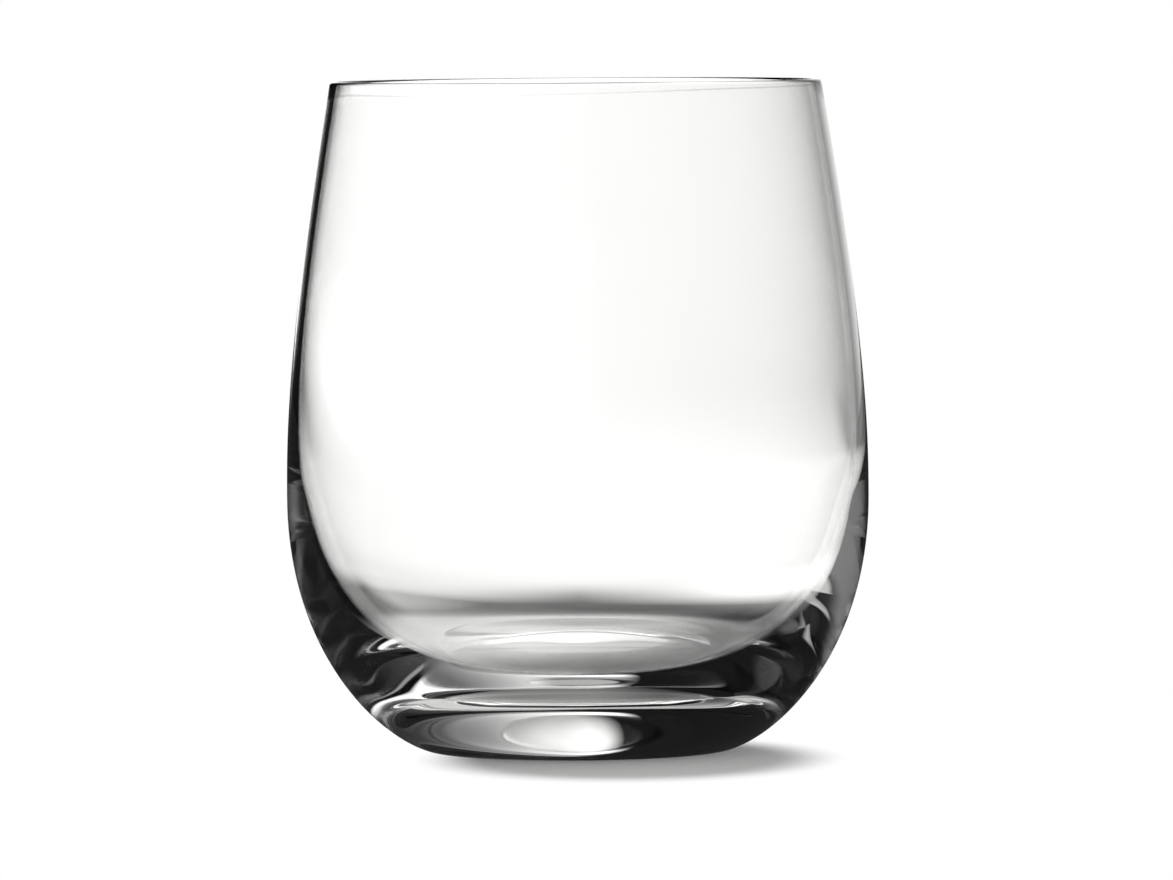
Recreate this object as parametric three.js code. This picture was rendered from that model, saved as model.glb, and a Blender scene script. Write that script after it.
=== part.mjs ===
// A stemless rocks glass, one piece of clear glass: a heavy base, a full belly and a thin wall
// that leans in to a rounded lip. Its shape is one outline turned about the Z axis.
// Millimetres, +Z up. The origin is the middle of the ring that the glass stands on.
import * as THREE from "three";

// Outside of the glass
const GLASS_HEIGHT = 95;
const RIM_DIAMETER = 69.8; // across the outside, just under the lip
const RIM_LEAN_DEG = 9.5; // how far the wall leans in at the lip
const BELLY_DIAMETER = 82.4; // across the widest place
const BELLY_HEIGHT = 36.2; // of the widest place above the table
const FOOT_DIAMETER = 42; // across the corner where the side meets the underside
const HEEL_RISE_DEG = 18.5; // slope of the side where it leaves the foot
const HEEL_ROUND = 1.1; // how far the rounding of that corner reaches each way

// Inside of the glass
const LIP_WALL = 1.1;
const BELLY_WALL = 1.55; // at the widest place of the bowl
const BOWL_WIDEST_HEIGHT = 43.7; // of that place above the table
const BASE_THICKNESS = 10.4; // from the table to the lowest ring of the bowl's floor
const FLOOR_RING_DIAMETER = 40.6; // across that lowest ring
const FLOOR_DOME = 1; // rise of the middle of the floor above that ring

// Underside
const STANDING_RING_WIDTH = 4.5; // flat ring that rests on the table, inside the heel
const HOLLOW_DEPTH = 0.5; // of the shallow hollow inside that ring

// Fullness of the curves: a handle's length as a share of the height or width that its curve spans
const SHOULDER_FULLNESS_AT_BELLY = 0.14;
const SHOULDER_FULLNESS_AT_LIP = 0.65;
const SIDE_FULLNESS_AT_HEEL = 0.2;
const SIDE_FULLNESS_AT_BELLY = 0.61;
const BOWL_FULLNESS_AT_WALL = 0.65;
const BOWL_FULLNESS_AT_FLOOR = 0.4;
const DOME_FULLNESS_AT_RING = 0.22;
const DOME_FULLNESS_AT_MIDDLE = 0.28;
const HOLLOW_FULLNESS = 0.34;

// Facets
const FACETS_ROUND = 64;
const HOLLOW_STEPS = 4;
const HEEL_STEPS = 3;
const SIDE_STEPS = 10;
const SHOULDER_STEPS = 9;
const LIP_STEPS = 6;
const BOWL_STEPS = 12;
const DOME_STEPS = 5;

// Clear glass
const GLASS_COLOUR = 0xf2f5f3;
const GLASS_ROUGHNESS = 0.02;
const GLASS_OPACITY = 0.3;

// Every point of the outline is (distance from the axis, height).
const at = (radius, height) => new THREE.Vector2(radius, height);

const rimLean = THREE.MathUtils.degToRad(RIM_LEAN_DEG);
const heelRise = THREE.MathUtils.degToRad(HEEL_RISE_DEG);

const foot = at(FOOT_DIAMETER / 2, 0);
const sideStart = at(foot.x + HEEL_ROUND * Math.cos(heelRise), HEEL_ROUND * Math.sin(heelRise));
const belly = at(BELLY_DIAMETER / 2, BELLY_HEIGHT);
const bowlWidest = at(BELLY_DIAMETER / 2 - BELLY_WALL, BOWL_WIDEST_HEIGHT);
const floorRing = at(FLOOR_RING_DIAMETER / 2, BASE_THICKNESS);
const floorMiddle = at(0, BASE_THICKNESS + FLOOR_DOME);

// The lip is a half round as thick as the wall, set square across the leaning wall.
const lipRound = LIP_WALL / 2;
const acrossWall = at(Math.cos(rimLean), Math.sin(rimLean));
const downWall = at(Math.sin(rimLean), -Math.cos(rimLean));
const lipMiddle = at(RIM_DIAMETER / 2 - lipRound * acrossWall.x, GLASS_HEIGHT - lipRound);
const lipOuter = lipMiddle.clone().addScaledVector(acrossWall, lipRound);
const lipInner = lipMiddle.clone().addScaledVector(acrossWall, -lipRound);

// Underside: a domed hollow on the axis, then the flat standing ring up to the rounded heel.
function underside() {
  const ringOuter = at(foot.x - HEEL_ROUND, 0);
  const ringInner = at(ringOuter.x - STANDING_RING_WIDTH, 0);
  const hollow = new THREE.QuadraticBezierCurve(
    at(0, HOLLOW_DEPTH),
    at(ringInner.x * HOLLOW_FULLNESS, HOLLOW_DEPTH),
    ringInner,
  );
  const ring = new THREE.LineCurve(ringInner, ringOuter);
  const heel = new THREE.QuadraticBezierCurve(ringOuter, foot, sideStart);
  return [hollow.getPoints(HOLLOW_STEPS), ring.getPoints(1), heel.getPoints(HEEL_STEPS)];
}

// Outside: up the round side to the belly, then in along the shoulder to the lip.
function outside() {
  const sideHeight = belly.y - sideStart.y;
  const sideOut = at(Math.cos(heelRise), Math.sin(heelRise));
  const side = new THREE.CubicBezierCurve(
    sideStart,
    sideStart.clone().addScaledVector(sideOut, sideHeight * SIDE_FULLNESS_AT_HEEL),
    at(belly.x, belly.y - sideHeight * SIDE_FULLNESS_AT_BELLY),
    belly,
  );
  const shoulderHeight = lipOuter.y - belly.y;
  const shoulder = new THREE.CubicBezierCurve(
    belly,
    at(belly.x, belly.y + shoulderHeight * SHOULDER_FULLNESS_AT_BELLY),
    lipOuter.clone().addScaledVector(downWall, shoulderHeight * SHOULDER_FULLNESS_AT_LIP),
    lipOuter,
  );
  return [side.getPoints(SIDE_STEPS), shoulder.getPoints(SHOULDER_STEPS)];
}

function lip() {
  const round = new THREE.EllipseCurve(
    lipMiddle.x, lipMiddle.y, lipRound, lipRound, rimLean, rimLean + Math.PI,
  );
  return [round.getPoints(LIP_STEPS)];
}

// Inside: down from the lip to the widest place of the bowl, on down the thickening wall to the
// lowest ring of the floor, then up over the low dome in its middle.
function inside() {
  const shoulderHeight = lipInner.y - bowlWidest.y;
  const shoulder = new THREE.CubicBezierCurve(
    lipInner,
    lipInner.clone().addScaledVector(downWall, shoulderHeight * SHOULDER_FULLNESS_AT_LIP),
    at(bowlWidest.x, bowlWidest.y + shoulderHeight * SHOULDER_FULLNESS_AT_BELLY),
    bowlWidest,
  );
  const bowlHeight = bowlWidest.y - floorRing.y;
  const bowlSpread = bowlWidest.x - floorRing.x;
  const bowl = new THREE.CubicBezierCurve(
    bowlWidest,
    at(bowlWidest.x, bowlWidest.y - bowlHeight * BOWL_FULLNESS_AT_WALL),
    at(floorRing.x + bowlSpread * BOWL_FULLNESS_AT_FLOOR, floorRing.y),
    floorRing,
  );
  const dome = new THREE.CubicBezierCurve(
    floorRing,
    at(floorRing.x - floorRing.x * DOME_FULLNESS_AT_RING, floorRing.y),
    at(floorRing.x * DOME_FULLNESS_AT_MIDDLE, floorMiddle.y),
    floorMiddle,
  );
  return [shoulder.getPoints(SHOULDER_STEPS), bowl.getPoints(BOWL_STEPS), dome.getPoints(DOME_STEPS)];
}

// Each stretch starts where the last one ended, so its first point is dropped.
function outline() {
  const stretches = [...underside(), ...outside(), ...lip(), ...inside()];
  return stretches.flatMap((points, i) => (i === 0 ? points : points.slice(1)));
}

function glassTumbler() {
  const geometry = new THREE.LatheGeometry(outline(), FACETS_ROUND);
  geometry.rotateX(Math.PI / 2);
  const material = new THREE.MeshStandardMaterial({
    color: GLASS_COLOUR,
    roughness: GLASS_ROUGHNESS,
    metalness: 0,
    transparent: true,
    opacity: GLASS_OPACITY,
  });
  const mesh = new THREE.Mesh(geometry, material);
  mesh.name = "glass_tumbler";
  return mesh;
}

const rocksGlass = new THREE.Group();
rocksGlass.add(glassTumbler());

export default rocksGlass;
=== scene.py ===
"""Looks of the rocks glass: one turned piece of clear glass on a pale studio floor."""
import math

import bpy
from bpy.props import FloatProperty, FloatVectorProperty, PointerProperty
from mathutils import Matrix, Vector


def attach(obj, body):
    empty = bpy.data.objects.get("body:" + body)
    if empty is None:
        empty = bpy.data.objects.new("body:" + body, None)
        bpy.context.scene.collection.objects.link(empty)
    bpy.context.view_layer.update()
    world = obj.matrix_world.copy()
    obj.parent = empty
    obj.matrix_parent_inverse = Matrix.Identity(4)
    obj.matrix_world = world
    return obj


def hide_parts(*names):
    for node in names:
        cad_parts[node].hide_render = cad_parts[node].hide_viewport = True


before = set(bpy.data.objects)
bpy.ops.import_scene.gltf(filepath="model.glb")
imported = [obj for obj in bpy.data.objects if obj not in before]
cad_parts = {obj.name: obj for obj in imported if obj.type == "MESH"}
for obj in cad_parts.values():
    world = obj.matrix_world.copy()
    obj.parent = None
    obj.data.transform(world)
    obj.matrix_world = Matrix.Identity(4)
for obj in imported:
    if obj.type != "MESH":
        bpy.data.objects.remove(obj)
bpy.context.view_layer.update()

bl_info = {
    "name": "Rocks glass",
    "version": (1, 0, 0),
    "blender": (4, 5, 0),
    "location": "View3D > Sidebar > Rocks glass",
    "description": "Turns a clear stemless rocks glass and sets it on a pale studio floor",
    "category": "Object",
}

MM = 0.001

# Fullness of the curves: a handle's length as a share of the height or width that its curve spans
SHOULDER_FULLNESS_AT_BELLY = 0.14
SHOULDER_FULLNESS_AT_LIP = 0.65
SIDE_FULLNESS_AT_HEEL = 0.2
SIDE_FULLNESS_AT_BELLY = 0.61
BOWL_FULLNESS_AT_WALL = 0.65
BOWL_FULLNESS_AT_FLOOR = 0.4
DOME_FULLNESS_AT_RING = 0.22
DOME_FULLNESS_AT_MIDDLE = 0.28
HOLLOW_FULLNESS = 0.34

# Fineness of the mesh
HOLLOW_STEPS = 16
RING_STEPS = 4
HEEL_STEPS = 8
SIDE_STEPS = 44
SHOULDER_STEPS = 36
LIP_STEPS = 18
BOWL_STEPS = 50
DOME_STEPS = 24
TURN_STEPS = 384
MERGE_DISTANCE = 0.001 * MM

# Surface of the glass: how fine its waves and smears are, and how much light its dullest place passes.
# Here and below, a pair is where a soft change starts and where it ends.
WAVE_SCALE = 90.0
WAVE_DRAWN_OUT = (1.0, 1.0, 0.35)
SMEAR_SCALE = 40.0
SMEAR_DETAIL = 3.0
SMEAR_SPAN = (0.35, 0.75)
LEAST_CLEAR = 0.985
CLEAR_SPREAD = 0.015

# Painted line of shade that stands in for the faint edge of the bead under the lip: half its width, how far
# and how finely it wavers, where it fades away and how dark it is
PAINTED_BEAD_LINE = 0.1 * MM
BEAD_SWAY = 1.2 * MM
BEAD_SWAY_SCALE = 30.0
PAINTED_BEAD_FADE = (0.3, 0.6)
PAINTED_BEAD_SHADE = 0.5

# Picture: its size in pixels, the scale at the axis of the glass, and where that axis stands
PICTURE_WIDTH = 1173
PICTURE_HEIGHT = 880
PIXEL = 0.14167 * MM
AXIS_COLUMN = 577.5
BASE_ROW = 750.7

# Camera's sensor in millimetres, its nearest and farthest sight in metres, and how often light may bend
SENSOR_WIDTH = 36
NEAREST_SIGHT = 0.05
FARTHEST_SIGHT = 50
LIGHT_BOUNCES = 32


def length(name, description, millimetres):
    """A property for one size of the glass."""
    return FloatProperty(name=name, description=description, default=millimetres * MM, precision=5,
                         subtype="DISTANCE", unit="LENGTH")


def slope(name, description, degrees):
    """A property for one angle of the glass or the camera."""
    return FloatProperty(name=name, description=description, default=math.radians(degrees),
                         subtype="ANGLE", unit="ROTATION")


def share(name, description, default, most=1.0):
    """A property for a plain number."""
    return FloatProperty(name=name, description=description, default=default, min=0.0, max=most,
                         subtype="FACTOR", precision=4)


class RocksGlassSizes(bpy.types.PropertyGroup):
    """Sizes of the glass"""

    height: length("Height", "From the table to the top of the lip", 94.99)
    rim_diameter: length("Rim diameter", "Across the outside, just under the lip", 69.8)
    rim_lean: slope("Rim lean", "How far the wall leans in at the lip", 9.5)
    belly_diameter: length("Belly diameter", "Across the widest place", 82.4)
    belly_height: length("Belly height", "Of the widest place above the table", 36.2)
    foot_diameter: length("Foot diameter", "Across the corner of the side and the underside", 42)
    heel_rise: slope("Heel rise", "Slope of the side where it leaves the foot", 18.5)
    heel_round: length("Heel round", "Reach of the rounding of the foot's corner", 1.1)
    lip_wall: length("Lip wall", "Thickness of the wall at the lip", 1.1)
    belly_wall: length("Belly wall", "Thickness of the wall at the widest place of the bowl", 1.55)
    bowl_widest_height: length("Bowl widest height", "Of that place above the table", 43.7)
    base_thickness: length("Base thickness", "From the table to the lowest ring of the floor", 10.4)
    floor_ring_diameter: length("Floor ring diameter", "Across the lowest ring of the floor", 40.6)
    floor_dome: length("Floor dome", "Rise of the middle of the floor above that ring", 1)
    standing_ring_width: length("Standing ring width", "Of the flat ring that rests on the table", 4.5)
    hollow_depth: length("Hollow depth", "Of the shallow hollow inside the standing ring", 0.5)


class RocksGlassFinish(bpy.types.PropertyGroup):
    """Finish of the glass"""

    tint: FloatVectorProperty(name="Tint", description="Colour that thick glass takes on",
                              default=(0.93, 0.97, 0.95), size=3, min=0.0, max=1.0, subtype="COLOR")
    depth_of_tint: FloatProperty(name="Depth of tint", default=4.0, min=0.0,
                                 description="How strongly thickness colours the glass")
    bending: FloatProperty(name="Bending of light", description="Refractive index of the glass",
                           default=1.52, min=1.0, max=2.0)
    polish: share("Polish", "Roughness of the fire-polished surface", 0.006)
    wave: length("Wave", "Depth of the faint waves left by blowing", 0.0015)
    # The bead's edge is not in the mesh: these two only place the painted line of shade in the glass's
    # colour
    bead_reach: length("Bead reach", "From the lip down to the faint edge of its fire-polished bead", 1.5)
    bead_tilt: slope("Bead tilt", "How far that edge runs out of level", 1.0)


class RocksGlassStage(bpy.types.PropertyGroup):
    """Floor, studio and camera"""

    floor_radius: length("Floor radius", "Of the round floor", 3000)
    floor_colour: FloatVectorProperty(name="Floor colour", description="Colour of the pale floor",
                                      default=(1.0, 1.0, 1.0), size=3, min=0.0, max=1.0, subtype="COLOR")
    shadow_light: share("Light in the shadow", "Light that comes to the floor through the glass", 0.4)
    camera_distance: length("Camera distance", "From the axis of the glass", 1500)
    camera_height: length("Camera height", "Above the table", 110.7)
    camera_roll: slope("Camera roll", "Tilt of the picture", -0.4)


def curve(handles, steps):
    """Points along the curve that the handles shape, without its first point."""
    found = []
    for step in range(1, steps + 1):
        left = list(handles)
        while len(left) > 1:
            left = [a.lerp(b, step / steps) for a, b in zip(left, left[1:])]
        found.append(left[0])
    return found


def half_round(middle, radius, start, steps):
    """Points along half a circle, without its first point."""
    angles = [start + math.pi * step / steps for step in range(1, steps + 1)]
    return [middle + radius * Vector((math.cos(a), math.sin(a))) for a in angles]


def outline(sizes):
    """Outline of the glass from the underside's middle to the middle of the bowl's floor.

    Every point is (distance from the axis, height).
    """
    across_wall = Vector((math.cos(sizes.rim_lean), math.sin(sizes.rim_lean)))
    down_wall = Vector((math.sin(sizes.rim_lean), -math.cos(sizes.rim_lean)))
    side_out = Vector((math.cos(sizes.heel_rise), math.sin(sizes.heel_rise)))
    up = Vector((0.0, 1.0))
    out = Vector((1.0, 0.0))

    foot = out * sizes.foot_diameter / 2
    side_start = foot + side_out * sizes.heel_round
    belly = Vector((sizes.belly_diameter / 2, sizes.belly_height))
    bowl_widest = Vector((belly.x - sizes.belly_wall, sizes.bowl_widest_height))
    floor_ring = Vector((sizes.floor_ring_diameter / 2, sizes.base_thickness))
    floor_middle = up * (sizes.base_thickness + sizes.floor_dome)
    ring_outer = foot - out * sizes.heel_round
    ring_inner = ring_outer - out * sizes.standing_ring_width
    hollow_top = up * sizes.hollow_depth

    lip_round = sizes.lip_wall / 2
    lip_middle = Vector((sizes.rim_diameter / 2 - lip_round * across_wall.x, sizes.height - lip_round))
    lip_outer = lip_middle + across_wall * lip_round
    lip_inner = lip_middle - across_wall * lip_round

    side_height = belly.y - side_start.y
    outer_height = lip_outer.y - belly.y
    inner_height = lip_inner.y - bowl_widest.y
    bowl_height = bowl_widest.y - floor_ring.y
    bowl_spread = bowl_widest.x - floor_ring.x

    points = [hollow_top]
    points += curve([hollow_top, hollow_top + out * ring_inner.x * HOLLOW_FULLNESS, ring_inner],
                    HOLLOW_STEPS)
    points += curve([ring_inner, ring_outer], RING_STEPS)
    points += curve([ring_outer, foot, side_start], HEEL_STEPS)
    points += curve([side_start, side_start + side_out * side_height * SIDE_FULLNESS_AT_HEEL,
                     belly - up * side_height * SIDE_FULLNESS_AT_BELLY, belly], SIDE_STEPS)
    points += curve([belly, belly + up * outer_height * SHOULDER_FULLNESS_AT_BELLY,
                     lip_outer + down_wall * outer_height * SHOULDER_FULLNESS_AT_LIP, lip_outer],
                    SHOULDER_STEPS)
    points += half_round(lip_middle, lip_round, sizes.rim_lean, LIP_STEPS)
    points += curve([lip_inner, lip_inner + down_wall * inner_height * SHOULDER_FULLNESS_AT_LIP,
                     bowl_widest + up * inner_height * SHOULDER_FULLNESS_AT_BELLY, bowl_widest],
                    SHOULDER_STEPS)
    points += curve([bowl_widest, bowl_widest - up * bowl_height * BOWL_FULLNESS_AT_WALL,
                     floor_ring + out * bowl_spread * BOWL_FULLNESS_AT_FLOOR, floor_ring], BOWL_STEPS)
    points += curve([floor_ring, floor_ring - out * floor_ring.x * DOME_FULLNESS_AT_RING,
                     floor_middle + out * floor_ring.x * DOME_FULLNESS_AT_MIDDLE, floor_middle], DOME_STEPS)
    return points


def draw_outline(name, points):
    """Draw the outline in the XZ plane: a plane is closed up to one point, which is pulled along."""
    bpy.ops.object.select_all(action="DESELECT")
    bpy.ops.mesh.primitive_plane_add(size=1, location=(0, 0, 0))
    drawn = bpy.context.active_object
    drawn.name = name
    drawn.data.name = name
    bpy.ops.object.mode_set(mode="EDIT")
    bpy.ops.mesh.select_mode(type="VERT")
    bpy.ops.mesh.select_all(action="SELECT")
    bpy.ops.mesh.merge(type="CENTER")
    bpy.ops.transform.translate(value=(points[0].x, 0, points[0].y))
    for start, end in zip(points, points[1:]):
        step = end - start
        bpy.ops.mesh.extrude_vertices_move(TRANSFORM_OT_translate={"value": (step.x, 0, step.y)})
    return drawn


def turn_outline():
    """Turn the outline that is being edited about the Z axis, and close its seam and its two middles."""
    bpy.ops.mesh.select_all(action="SELECT")
    bpy.ops.mesh.spin(steps=TURN_STEPS, angle=math.tau, center=(0, 0, 0), axis=(0, 0, 1))
    bpy.ops.mesh.select_all(action="SELECT")
    bpy.ops.mesh.remove_doubles(threshold=MERGE_DISTANCE)
    bpy.ops.mesh.normals_make_consistent(inside=False)
    bpy.ops.object.mode_set(mode="OBJECT")
    bpy.ops.object.shade_smooth()


class Value:
    """A number that changes over a surface, so that shader maths is written as an expression."""

    def __init__(self, shader, socket):
        self.shader = shader
        self.socket = socket

    def math(self, operation, *numbers):
        """The result of a Math node on these numbers."""
        node = self.shader.add("ShaderNodeMath", {"operation": operation}, dict(enumerate(numbers)))
        return Value(self.shader, node.outputs[0])

    def __add__(self, other):
        return self.math("ADD", self, other)

    def __radd__(self, other):
        return self.math("ADD", other, self)

    def __sub__(self, other):
        return self.math("SUBTRACT", self, other)

    def __rsub__(self, other):
        return self.math("SUBTRACT", other, self)

    def __mul__(self, other):
        return self.math("MULTIPLY", self, other)

    def __rmul__(self, other):
        return self.math("MULTIPLY", other, self)

    def __truediv__(self, other):
        return self.math("DIVIDE", self, other)

    def __abs__(self):
        return self.math("ABSOLUTE", self)

    def least(self, other):
        """The smaller of the two."""
        return self.math("MINIMUM", self, other)

    def most(self, other):
        """The larger of the two."""
        return self.math("MAXIMUM", self, other)

    def step(self, start, end):
        """0 on the side of start and 1 on the side of end, with a soft change between them."""
        settings = {"interpolation_type": "SMOOTHSTEP"}
        sockets = {"Value": self, "From Min": start, "From Max": end}
        return Value(self.shader, self.shader.add("ShaderNodeMapRange", settings, sockets).outputs["Result"])

    def angle(self, operation, *numbers):
        """The angle that an inverse of sine or tangent gives, in degrees."""
        return self.math(operation, self, *numbers) * math.degrees(1)

    def length(self, other):
        """Length of the slope over the two."""
        square = self * self + other * other
        return square.math("SQRT", square)

    def toward(self, other, amount):
        """This value where amount is 0 and the other one where it is 1."""
        return self + (other - self) * amount


class Shader:
    """The node tree of a material or world, built from its nodes' types, settings and sockets."""

    def __init__(self, owner):
        owner.use_nodes = True
        self.tree = owner.node_tree
        self.tree.nodes.clear()

    def add(self, kind, settings=None, sockets=None):
        """Add a node: its settings first, then the value or the link of each socket."""
        node = self.tree.nodes.new(kind)
        for name, setting in (settings or {}).items():
            if name == "stops":
                self.set_stops(node.color_ramp.elements, setting)
            else:
                setattr(node, name, setting)
        for name, given in (sockets or {}).items():
            if isinstance(given, Value):
                self.tree.links.new(given.socket, node.inputs[name])
            elif isinstance(given, bpy.types.NodeSocket):
                self.tree.links.new(given, node.inputs[name])
            else:
                node.inputs[name].default_value = given
        return node

    @staticmethod
    def set_stops(elements, stops):
        """Give a ramp its stops, each a place and a grey."""
        elements.remove(elements[1])
        elements[0].position = stops[0][0]
        elements[0].color = (*[stops[0][1]] * 3, 1)
        for place, grey in stops[1:]:
            elements.new(place).color = (*[grey] * 3, 1)

    def value(self, node, output=0):
        """An output of a node as a value."""
        return Value(self, node.outputs[output])


def painted_bead_shade(shader, place, finish, height):
    """Painted shade of a faint wavering line where the lip's fire-polished bead would end, 0 away from it.
    """
    parts = shader.add("ShaderNodeSeparateXYZ", {}, {0: place})
    noise = shader.add("ShaderNodeTexNoise", {}, {"Vector": place, "Scale": BEAD_SWAY_SCALE, "Detail": 0.0})
    sway = shader.value(noise, "Fac")
    level = shader.value(parts, 2) - shader.value(parts, 0) * math.tan(finish.bead_tilt)
    level = level - (sway - 0.5) * BEAD_SWAY
    from_edge = abs(level - (height - finish.bead_reach))
    return from_edge.step(PAINTED_BEAD_LINE, 0.0) * sway.step(*PAINTED_BEAD_FADE) * PAINTED_BEAD_SHADE


def clear_glass(finish, height):
    """Clear fire-polished glass: faint waves, a polish that varies, and a painted shade line for its bead.
    """
    material = bpy.data.materials.new("clear_glass")
    shader = Shader(material)
    place = shader.add("ShaderNodeTexCoord").outputs["Object"]
    drawn = shader.add("ShaderNodeMapping", {}, {"Vector": place, "Scale": WAVE_DRAWN_OUT})
    waves = shader.add("ShaderNodeTexNoise", {}, {"Vector": drawn.outputs[0], "Scale": WAVE_SCALE,
                                                  "Detail": 1.0})
    bump = shader.add("ShaderNodeBump", {}, {"Strength": 1.0, "Distance": finish.wave,
                                             "Height": waves.outputs["Fac"]})
    noise = shader.add("ShaderNodeTexNoise", {}, {"Vector": place, "Scale": SMEAR_SCALE,
                                                  "Detail": SMEAR_DETAIL})
    smears = shader.value(noise, "Fac")
    polish = smears.step(*SMEAR_SPAN) * finish.polish
    # Painted shade: the colour darkens along the line where the lip's bead would end
    tone = LEAST_CLEAR + smears * CLEAR_SPREAD - painted_bead_shade(shader, place, finish, height)
    colour = shader.add("ShaderNodeCombineColor", {}, {"Red": tone, "Green": tone, "Blue": tone})
    glass = shader.add("ShaderNodeBsdfPrincipled", {}, {
        "Base Color": colour.outputs[0], "Roughness": polish, "IOR": finish.bending,
        "Transmission Weight": 1.0, "Normal": bump.outputs[0]})
    depth = shader.add("ShaderNodeVolumeAbsorption", {}, {"Color": (*finish.tint, 1.0),
                                                          "Density": finish.depth_of_tint})
    shader.add("ShaderNodeOutputMaterial", {}, {"Surface": glass.outputs[0], "Volume": depth.outputs[0]})
    return material


# Studio as the glass sees it. Angles are in degrees, and an azimuth is 0 straight behind the glass and
# grows to the right. Places on the floor are in millimetres from the axis of the glass, x to the right
# and y to the back.
STUDIO_DARK = 0.008
STUDIO_COLOUR = (1.0, 1.0, 0.985, 1.0)

# Paths through the glass: the surfaces that a ray crosses straight through the bowl or the mouth, and how
# many surfaces or inner mirrors make it one of the longer paths
BOWL_SURFACES = 4
MOUTH_SURFACES = 2
DEEP_SURFACES = 6
ARC_MIRRORS = 2
BENT_MIRRORS = 2
ZIGZAG_MIRRORS = 3
PIPED_MIRRORS = 6
LONG_MIRRORS = 12
FILL_MIRRORS = 20

# Backdrop. It hangs aslant behind the glass: its tone changes with the angle from its left edge, and ends
# there at a black flag.
BACKDROP_LEAN = Vector((1.0, 0.235, -0.244)).normalized()
BACKDROP_TONES = (
    (-2, 0.0), (2, 0.75), (5, 0.95), (9, 0.8), (13, 0.69), (18, 0.61), (24, 0.47), (30, 0.31), (36, 0.19),
    (42, 0.09), (55, 0.035), (75, 0.025),
)
BACKDROP_BRIGHTNESS = 1.7
BACKDROP_FRONT = (0.15, 0.8)
BACKDROP_FRONT_RISE = 0.3
BACKDROP_TOP = (15, 30)
BACKDROP_TOP_LOSS = 0.6

# What the longer paths lose, the zigzag ones only where they look low and to the left
ZIGZAG_LOW = (5, 1)
ZIGZAG_LEFT = (14, 4)
ZIGZAG_LOSS = 0.75
PIPED_LOSS = 0.85
DEEP_LOSS = 0.5

# Dim panel at the front left and small lamp at the left, which are seen along the wall of the glass
FILL_AZIMUTH = -158
FILL_EDGE = (38, 14)
FILL_LONG_AZIMUTH = -148
FILL_LONG_EDGE = (46, 30)
FILL_TOP = (38, 18)
FILL_BRIGHTNESS = 0.24
LAMP_AZIMUTH = -112
LAMP_EDGE = (18, 10)
LAMP_BOTTOM = (11, 15)
LAMP_TOP = (36, 30)
LAMP_BRIGHTNESS = 0.7

# Pale surround at the sides and the front, which is seen straight through the bowl or the mouth
SURROUND_AZIMUTH = 20
SURROUND_EDGE = (85, 100)
SURROUND_BRIGHTNESS = 1.15

# Rings of painted light and shade on the floor by their distance from the axis, drawn out a little to the
# left: painted shadow of the glass, darkest at 44 to 48 mm, and painted light through the glass inside it
PAINTED_SHADOW_RINGS = (
    (26, 0.84), (32, 0.84), (36, 0.42), (39, 0.26), (44, 0.16), (48, 0.15), (52, 0.36), (57, 0.58),
    (62, 0.72), (68, 0.86), (76, 0.94), (90, 1.0),
)
FLOOR_GLOW = 1.25
RINGS_DRAWN_OUT = 0.25
RINGS_LEFT = (-2, -30)
RINGS_LEFT_LEAST = 0.4

# Painted light and shade on the floor under the glass: lighter at the back left, with a painted pool of
# light at the front that the base enlarges
UNDER_BACK_LEFT = (-8, 30)
UNDER_LIGHT = 0.7
UNDER_DARK = 0.08
UNDER_LEFT_END = (-44, -30)
LIGHT_POOL_SIDE = (14, 0)
LIGHT_POOL_FRONT = (-4, -14)
LIGHT_POOL_BRIGHTNESS = 0.16

# Lit strip of floor from the glass to the backdrop: its dimmer middle, and its left and right edges
STRIP_MIDDLE = 0.45
STRIP_GROWTH = 0.035
STRIP_MOST = 1.8
STRIP_RIGHT = (12, 30)
STRIP_RIGHT_GAIN = 0.17
STRIP_EVEN = (55, 80)
STRIP_LEFT_EDGE = (-43, -25)
STRIP_CLEAR_EDGE = (-16, -2)
STRIP_CLEAR_SPREAD = 0.3
STRIP_NEAR_SPREAD = 0.4
STRIP_NEAR_REACH = 100.0
STRIP_RIGHT_EDGE = (94, 66)
STRIP_RIGHT_SPREAD = 0.05

# Floor beside the strip at the right, and in front of the glass
SIDE_NEAR = 0.1
SIDE_FAR = 0.3
SIDE_CHANGE = (140, 240)
SIDE_EDGE_REACH = (420, 250)
SIDE_BENT = (60, 85)
SIDE_BENT_REACH = (260, 160)
FRONT_BRIGHTNESS = 0.12
FRONT_CHANGE = (-10, 30)
FRONT_EDGE = (20, 40)
FRONT_EDGE_BRIGHTNESS = 0.9

# Pale floor outside the strip, which is seen straight through the bowl or the mouth
MOUTH_START = (100, 140)
WINDOW_START = (55, 75)
WINDOW_END = (260, 220)
WINDOW_BACK_LEFT = (-18, -26)
WINDOW_LEFT = (-50, -62)
WINDOW_RIGHT = (85, 100)
CONTACT_END = (75, 60)
CONTACT_LIGHT = 0.17

# Where one part of the floor gives way to the next, and what the longer paths lose or gain there
UNDER_TO_STRIP = (38, 52)
STRIP_TO_BACKDROP = (120, 900)
FLOOR_ZIGZAG_START = (60, 100)
FLOOR_ZIGZAG_LOSS = 0.6
FLOOR_ARC_GAIN = 0.8
FLOOR_MIRRORED = 0.03

# Shadow on the floor: how far its middle lies to the right and to the front, how much longer than wide it
# is, and where it ends
SHADOW_RIGHT = 7.0
SHADOW_FRONT = 17.0
SHADOW_STRETCH = 1.5
SHADOW_EDGE = (20, 31)
FLOOR_SIDES = 128
FLOOR_DROP = 0.03 * MM


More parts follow.
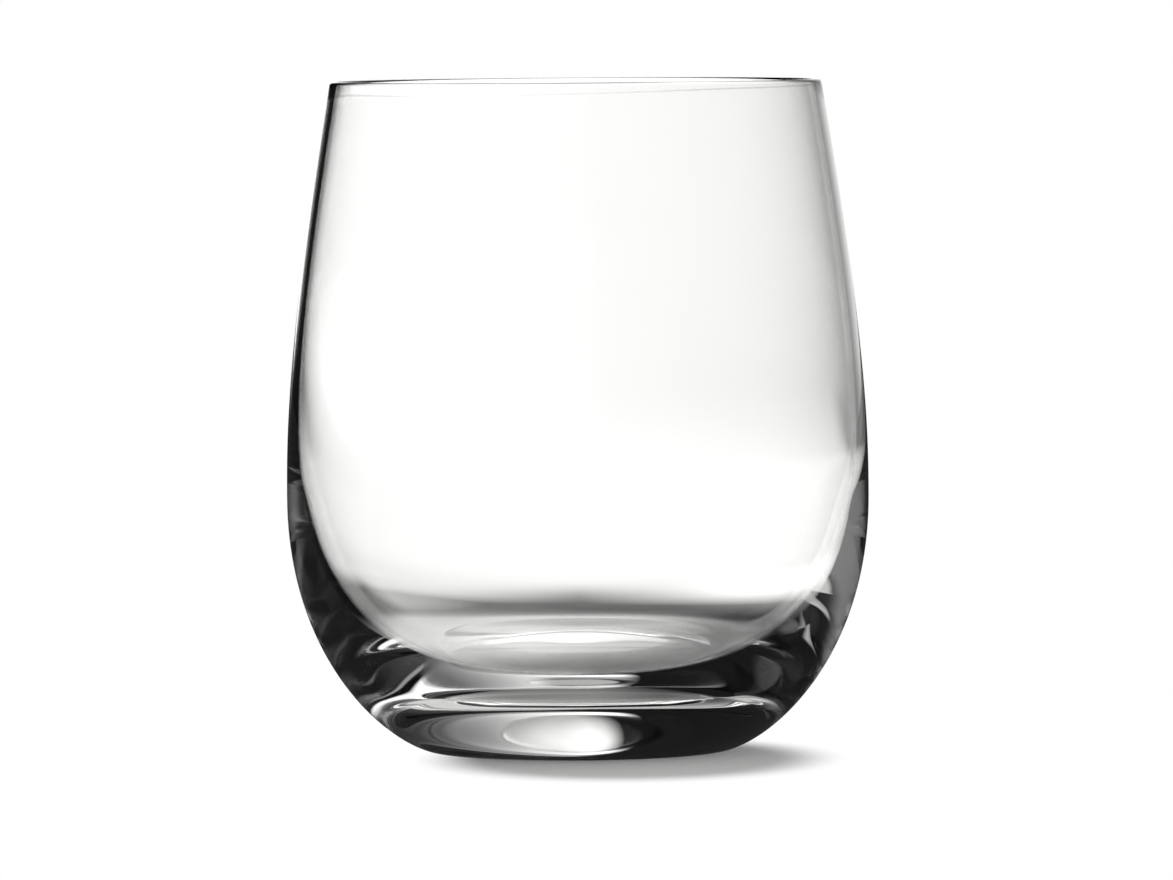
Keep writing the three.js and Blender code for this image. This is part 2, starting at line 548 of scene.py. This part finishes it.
class Studio:
    """What a ray meets round the glass, by how the ray came there."""

    def __init__(self, shader):
        self.shader = shader
        path = shader.add("ShaderNodeLightPath")
        self.camera = shader.value(path, "Is Camera Ray")
        self.mirrored = shader.value(path, "Is Reflection Ray")
        self.crossed = shader.value(path, "Is Transmission Ray")
        self.from_floor = self.at_least(shader.value(path, "Diffuse Depth"), 1)
        surfaces = shader.value(path, "Transmission Depth")
        mirrors = shader.value(path, "Glossy Depth")
        straight = self.count(mirrors, 0)
        bowl = self.count(surfaces, BOWL_SURFACES)
        mouth = self.count(surfaces, MOUTH_SURFACES)
        self.clear_view = bowl * straight
        self.mouth_view = mouth * straight
        self.edge_view = mouth * self.count(mirrors, 1)
        self.arcs = bowl * self.count(mirrors, ARC_MIRRORS)
        self.zigzag = self.count(mirrors, ZIGZAG_MIRRORS)
        self.deep = self.at_least(surfaces, DEEP_SURFACES)
        self.bent = self.at_least(mirrors, BENT_MIRRORS)
        self.piped = self.at_least(mirrors, PIPED_MIRRORS)
        self.long = self.at_least(mirrors, LONG_MIRRORS)
        self.filled = self.at_most(mirrors, FILL_MIRRORS)

    def at_least(self, number, wanted):
        """1 where a whole number is the wanted one or more, and 0 elsewhere."""
        return number.step(wanted - 0.6, wanted - 0.4)

    def at_most(self, number, wanted):
        """1 where a whole number is the wanted one or less, and 0 elsewhere."""
        return number.step(wanted + 0.6, wanted + 0.4)

    def count(self, number, wanted):
        """1 where a whole number is the wanted one, and 0 elsewhere."""
        return self.at_least(number, wanted) * self.at_most(number, wanted)

    def by(self, number, stops):
        """A tone that follows a number through the stops."""
        first = stops[0][0]
        span = stops[-1][0] - first
        ramp = [((place - first) / span, grey) for place, grey in stops]
        node = self.shader.add("ShaderNodeValToRGB", {"stops": ramp}, {"Fac": (number - first) / span})
        return self.shader.value(node)

    def turn(self, azimuth, middle):
        """How far an azimuth lies from a middle one, either way round."""
        apart = abs(azimuth - middle)
        return apart.least(360.0 - apart)

    def backdrop(self, x, y, z):
        """Brightness of the backdrop, the panel, the lamp and the surround in a direction."""
        azimuth = x.angle("ARCTAN2", y)
        elevation = z.angle("ARCSINE")
        lean = x * BACKDROP_LEAN.x + y * BACKDROP_LEAN.y + z * BACKDROP_LEAN.z
        tone = self.by(lean.angle("ARCSINE"), BACKDROP_TONES) * BACKDROP_BRIGHTNESS
        tone = tone * (y + z * BACKDROP_FRONT_RISE).step(*BACKDROP_FRONT)
        tone = tone * (1.0 - elevation.step(*BACKDROP_TOP) * BACKDROP_TOP_LOSS)
        low_left = elevation.step(*ZIGZAG_LOW) * azimuth.step(*ZIGZAG_LEFT)
        tone = tone * (1.0 - self.zigzag * low_left * ZIGZAG_LOSS)
        tone = tone * (1.0 - self.piped * PIPED_LOSS) * (1.0 - self.deep * DEEP_LOSS)
        panel = self.fill(azimuth) * elevation.step(*FILL_TOP)
        surround = self.clear_view.most(self.mouth_view) * SURROUND_BRIGHTNESS
        surround = surround * self.turn(azimuth, SURROUND_AZIMUTH).step(*SURROUND_EDGE)
        return tone.most(panel).most(self.lamp(azimuth, elevation)).most(surround) + STUDIO_DARK

    def fill(self, azimuth):
        """Brightness of the dim panel, which is wider for the longest paths along the wall."""
        panel = self.turn(azimuth, FILL_AZIMUTH).step(*FILL_EDGE)
        panel = panel.most(self.turn(azimuth, FILL_LONG_AZIMUTH).step(*FILL_LONG_EDGE) * self.long)
        return panel * self.filled * FILL_BRIGHTNESS

    def lamp(self, azimuth, elevation):
        """Brightness of the small lamp, which only paths along the wall show."""
        lamp = self.turn(azimuth, LAMP_AZIMUTH).step(*LAMP_EDGE)
        lamp = lamp * elevation.step(*LAMP_BOTTOM) * elevation.step(*LAMP_TOP)
        return lamp * self.piped * LAMP_BRIGHTNESS

    def under(self, x, y, ring):
        """Painted light and shade of the floor under the glass, with its painted pool of light."""
        light = (y - x).step(*UNDER_BACK_LEFT) * (UNDER_LIGHT - UNDER_DARK) + UNDER_DARK
        light_pool = self.edge_view * x.step(*LIGHT_POOL_SIDE) * y.step(*LIGHT_POOL_FRONT) * LIGHT_POOL_BRIGHTNESS
        return light * ring * x.step(*UNDER_LEFT_END) + light_pool

    def strip(self, x, y, distance):
        """Brightness of the lit strip of floor, and of the dimmer floor at its sides and in front."""
        behind = y.most(0.0)
        middle = (abs(x) * STRIP_GROWTH + STRIP_MIDDLE).least(STRIP_MOST)
        middle = middle * (1.0 + x.step(*STRIP_RIGHT) * STRIP_RIGHT_GAIN)
        middle = middle.toward(1.0, distance.step(*STRIP_EVEN))
        spread = behind * STRIP_CLEAR_SPREAD + behind.least(STRIP_NEAR_REACH) * STRIP_NEAR_SPREAD
        left = x.step(*STRIP_LEFT_EDGE).toward((x + spread).step(*STRIP_CLEAR_EDGE), self.clear_view)
        side = distance.step(*SIDE_CHANGE) * (SIDE_FAR - SIDE_NEAR) + SIDE_NEAR
        side = side.most(self.edge_view * distance.step(*SIDE_EDGE_REACH))
        right = side.toward(1.0, (x - behind * STRIP_RIGHT_SPREAD).step(*STRIP_RIGHT_EDGE))
        right = right * (1.0 - self.bent * x.step(*SIDE_BENT) * distance.step(*SIDE_BENT_REACH))
        front = y.step(*FRONT_CHANGE) * (1.0 - FRONT_BRIGHTNESS) + FRONT_BRIGHTNESS
        front = front.most(self.edge_view * x.step(*FRONT_EDGE) * FRONT_EDGE_BRIGHTNESS)
        return middle * left * right * front

    def windows(self, azimuth, distance):
        """Brightness of the pale floor outside the strip, for rays straight through the glass."""
        through = self.clear_view.most(self.mouth_view * distance.step(*MOUTH_START))
        start = distance.step(*WINDOW_START)
        pale = azimuth.step(*WINDOW_BACK_LEFT) * start * distance.step(*WINDOW_END)
        pale = pale.most(azimuth.step(*WINDOW_LEFT) * start).most(azimuth.step(*WINDOW_RIGHT))
        pale = pale.most(distance.step(*CONTACT_END) * CONTACT_LIGHT)
        return through * pale * SURROUND_BRIGHTNESS

    def floor(self, x, y):
        """Painted light and shade that the floor glows with at a place."""
        distance = x.length(y)
        azimuth = x.angle("ARCTAN2", y)
        # Painted shadow of the glass and painted light through it, in rings round the axis
        ring = self.by(distance + x.least(0.0) * RINGS_DRAWN_OUT, PAINTED_SHADOW_RINGS) * FLOOR_GLOW
        ring = ring.most(x.step(*RINGS_LEFT) * RINGS_LEFT_LEAST)
        wide = (ring * self.strip(x, y, distance)).most(self.windows(azimuth, distance))
        tone = self.under(x, y, ring).toward(wide, distance.step(*UNDER_TO_STRIP))
        level = x * 0.0
        far = self.backdrop(x / distance, y / distance, level)
        tone = tone.toward(far, distance.step(*STRIP_TO_BACKDROP))
        left = distance.step(*FLOOR_ZIGZAG_START) * azimuth.step(*ZIGZAG_LEFT)
        tone = tone * (1.0 - self.zigzag * left * FLOOR_ZIGZAG_LOSS)
        tone = tone * (1.0 + self.arcs * FLOOR_ARC_GAIN) * (1.0 - self.deep * DEEP_LOSS)
        return tone.most(self.piped * self.fill(azimuth))


def pale_studio(stage):
    """A white surround, with the backdrop and dark sides of the studio for what the glass shows."""
    world = bpy.data.worlds.new("pale_studio")
    shader = Shader(world)
    studio = Studio(shader)
    direction = shader.add("ShaderNodeTexCoord").outputs["Generated"]
    parts = shader.add("ShaderNodeSeparateXYZ", {}, {0: direction})
    backdrop = studio.backdrop(shader.value(parts, 0), shader.value(parts, 1), shader.value(parts, 2))
    seen = backdrop.toward(stage.shadow_light, studio.from_floor)
    by_glass = studio.mirrored.most(studio.crossed) * (1.0 - studio.camera)
    white = shader.add("ShaderNodeBackground", {}, {"Color": (1, 1, 1, 1)})
    around = shader.add("ShaderNodeBackground", {}, {"Color": STUDIO_COLOUR, "Strength": seen})
    both = shader.add("ShaderNodeMixShader", {}, {0: by_glass, 1: white.outputs[0], 2: around.outputs[0]})
    shader.add("ShaderNodeOutputWorld", {}, {"Surface": both.outputs[0]})
    bpy.context.scene.world = world


def pale_floor(stage):
    """White floor, matt where the glass's shadow lies, glowing with a studio floor's painted light and
    shade.
    """
    material = bpy.data.materials.new("pale_floor")
    shader = Shader(material)
    studio = Studio(shader)
    place = shader.add("ShaderNodeTexCoord").outputs["Object"]
    parts = shader.add("ShaderNodeSeparateXYZ", {}, {0: place})
    x = shader.value(parts, 0) / MM
    y = shader.value(parts, 1) / MM
    from_shadow = (x - SHADOW_RIGHT).length((y + SHADOW_FRONT) / SHADOW_STRETCH)
    matt = shader.add("ShaderNodeBsdfDiffuse", {}, {"Color": (*stage.floor_colour, 1.0)})
    white = shader.add("ShaderNodeEmission", {}, {"Color": (1, 1, 1, 1)})
    plain = shader.add("ShaderNodeMixShader", {}, {
        0: from_shadow.step(*SHADOW_EDGE), 1: matt.outputs[0], 2: white.outputs[0]})
    # For rays through the glass the floor is no lit surface: it glows with painted light and shade
    glow = shader.add("ShaderNodeEmission", {}, {"Color": STUDIO_COLOUR, "Strength": studio.floor(x, y)})
    through = shader.add("ShaderNodeMixShader", {}, {
        0: studio.crossed, 1: plain.outputs[0], 2: glow.outputs[0]})
    # For mirrored rays the floor glows only faintly instead of white: a painted dark reflection
    dark = shader.add("ShaderNodeEmission", {}, {"Color": (1, 1, 1, 1), "Strength": FLOOR_MIRRORED})
    mirrored = shader.add("ShaderNodeMixShader", {}, {
        0: studio.mirrored, 1: through.outputs[0], 2: dark.outputs[0]})
    shader.add("ShaderNodeOutputMaterial", {}, {"Surface": mirrored.outputs[0]})
    return material


def lay_floor(stage):
    """A round floor just under the standing ring."""
    bpy.ops.object.select_all(action="DESELECT")
    bpy.ops.mesh.primitive_circle_add(vertices=FLOOR_SIDES, radius=stage.floor_radius, fill_type="NGON")
    floor = bpy.context.active_object
    floor.name = "studio_floor"
    bpy.ops.object.mode_set(mode="EDIT")
    bpy.ops.mesh.select_all(action="SELECT")
    bpy.ops.transform.translate(value=(0, 0, -FLOOR_DROP))
    bpy.ops.object.mode_set(mode="OBJECT")
    floor.data.materials.append(pale_floor(stage))


def place_camera(stage):
    """A long lens a little above the rim, aimed so that the glass stands where the picture shows it."""
    middle_height = (BASE_ROW - PICTURE_HEIGHT / 2) * PIXEL
    aside = (PICTURE_WIDTH / 2 - AXIS_COLUMN) * PIXEL
    bpy.ops.object.camera_add(location=(aside, -stage.camera_distance, stage.camera_height))
    camera = bpy.context.active_object
    camera.name = "picture_camera"
    sight = Vector((0, stage.camera_distance, middle_height - stage.camera_height))
    camera.rotation_mode = "QUATERNION"
    roll = Matrix.Rotation(stage.camera_roll, 3, "Z").to_quaternion()
    camera.rotation_quaternion = sight.to_track_quat("-Z", "Y") @ roll
    camera.data.sensor_width = SENSOR_WIDTH
    camera.data.lens = SENSOR_WIDTH * sight.length / (PICTURE_WIDTH * PIXEL)
    camera.data.clip_start = NEAREST_SIGHT
    camera.data.clip_end = FARTHEST_SIGHT
    bpy.context.scene.camera = camera


class ROCKSGLASS_OT_turn_tumbler(bpy.types.Operator):
    """Turn the outline of the tumbler into one piece of clear glass"""

    bl_idname = "rocks_glass.turn_tumbler"
    bl_label = "Turn the tumbler"

    def execute(self, context):
        sizes = context.scene.rocks_glass_sizes
        finish = context.scene.rocks_glass_finish
        tumbler = draw_outline("tumbler", outline(sizes))
        turn_outline()
        tumbler.data.materials.append(clear_glass(finish, sizes.height))
        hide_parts("glass_tumbler")
        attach(tumbler, "root")
        return {"FINISHED"}


class ROCKSGLASS_OT_set_stage(bpy.types.Operator):
    """Lay the pale floor, light the studio and place the camera"""

    bl_idname = "rocks_glass.set_stage"
    bl_label = "Set the stage"

    def execute(self, context):
        scene = context.scene
        stage = scene.rocks_glass_stage
        place_camera(stage)
        lay_floor(stage)
        pale_studio(stage)
        scene.view_settings.view_transform = "Standard"
        scene.cycles.max_bounces = LIGHT_BOUNCES
        scene.cycles.glossy_bounces = LIGHT_BOUNCES
        scene.cycles.transmission_bounces = LIGHT_BOUNCES
        return {"FINISHED"}


class ROCKSGLASS_PT_sidebar(bpy.types.Panel):
    """Sizes, finish and stage of the rocks glass"""

    bl_idname = "ROCKSGLASS_PT_sidebar"
    bl_label = "Rocks glass"
    bl_space_type = "VIEW_3D"
    bl_region_type = "UI"
    bl_category = "Rocks glass"

    def draw(self, context):
        scene = context.scene
        for group in (scene.rocks_glass_sizes, scene.rocks_glass_finish, scene.rocks_glass_stage):
            box = self.layout.box()
            for name in group.__annotations__:
                box.prop(group, name)
        self.layout.operator(ROCKSGLASS_OT_turn_tumbler.bl_idname)
        self.layout.operator(ROCKSGLASS_OT_set_stage.bl_idname)


CLASSES = (
    RocksGlassSizes,
    RocksGlassFinish,
    RocksGlassStage,
    ROCKSGLASS_OT_turn_tumbler,
    ROCKSGLASS_OT_set_stage,
    ROCKSGLASS_PT_sidebar,
)


def register():
    for made in CLASSES:
        bpy.utils.register_class(made)
    bpy.types.Scene.rocks_glass_sizes = PointerProperty(type=RocksGlassSizes)
    bpy.types.Scene.rocks_glass_finish = PointerProperty(type=RocksGlassFinish)
    bpy.types.Scene.rocks_glass_stage = PointerProperty(type=RocksGlassStage)


def unregister():
    del bpy.types.Scene.rocks_glass_stage
    del bpy.types.Scene.rocks_glass_finish
    del bpy.types.Scene.rocks_glass_sizes
    for made in reversed(CLASSES):
        bpy.utils.unregister_class(made)


def main():
    register()
    bpy.ops.rocks_glass.turn_tumbler()
    bpy.ops.rocks_glass.set_stage()


if __name__ == "__main__":
    main()
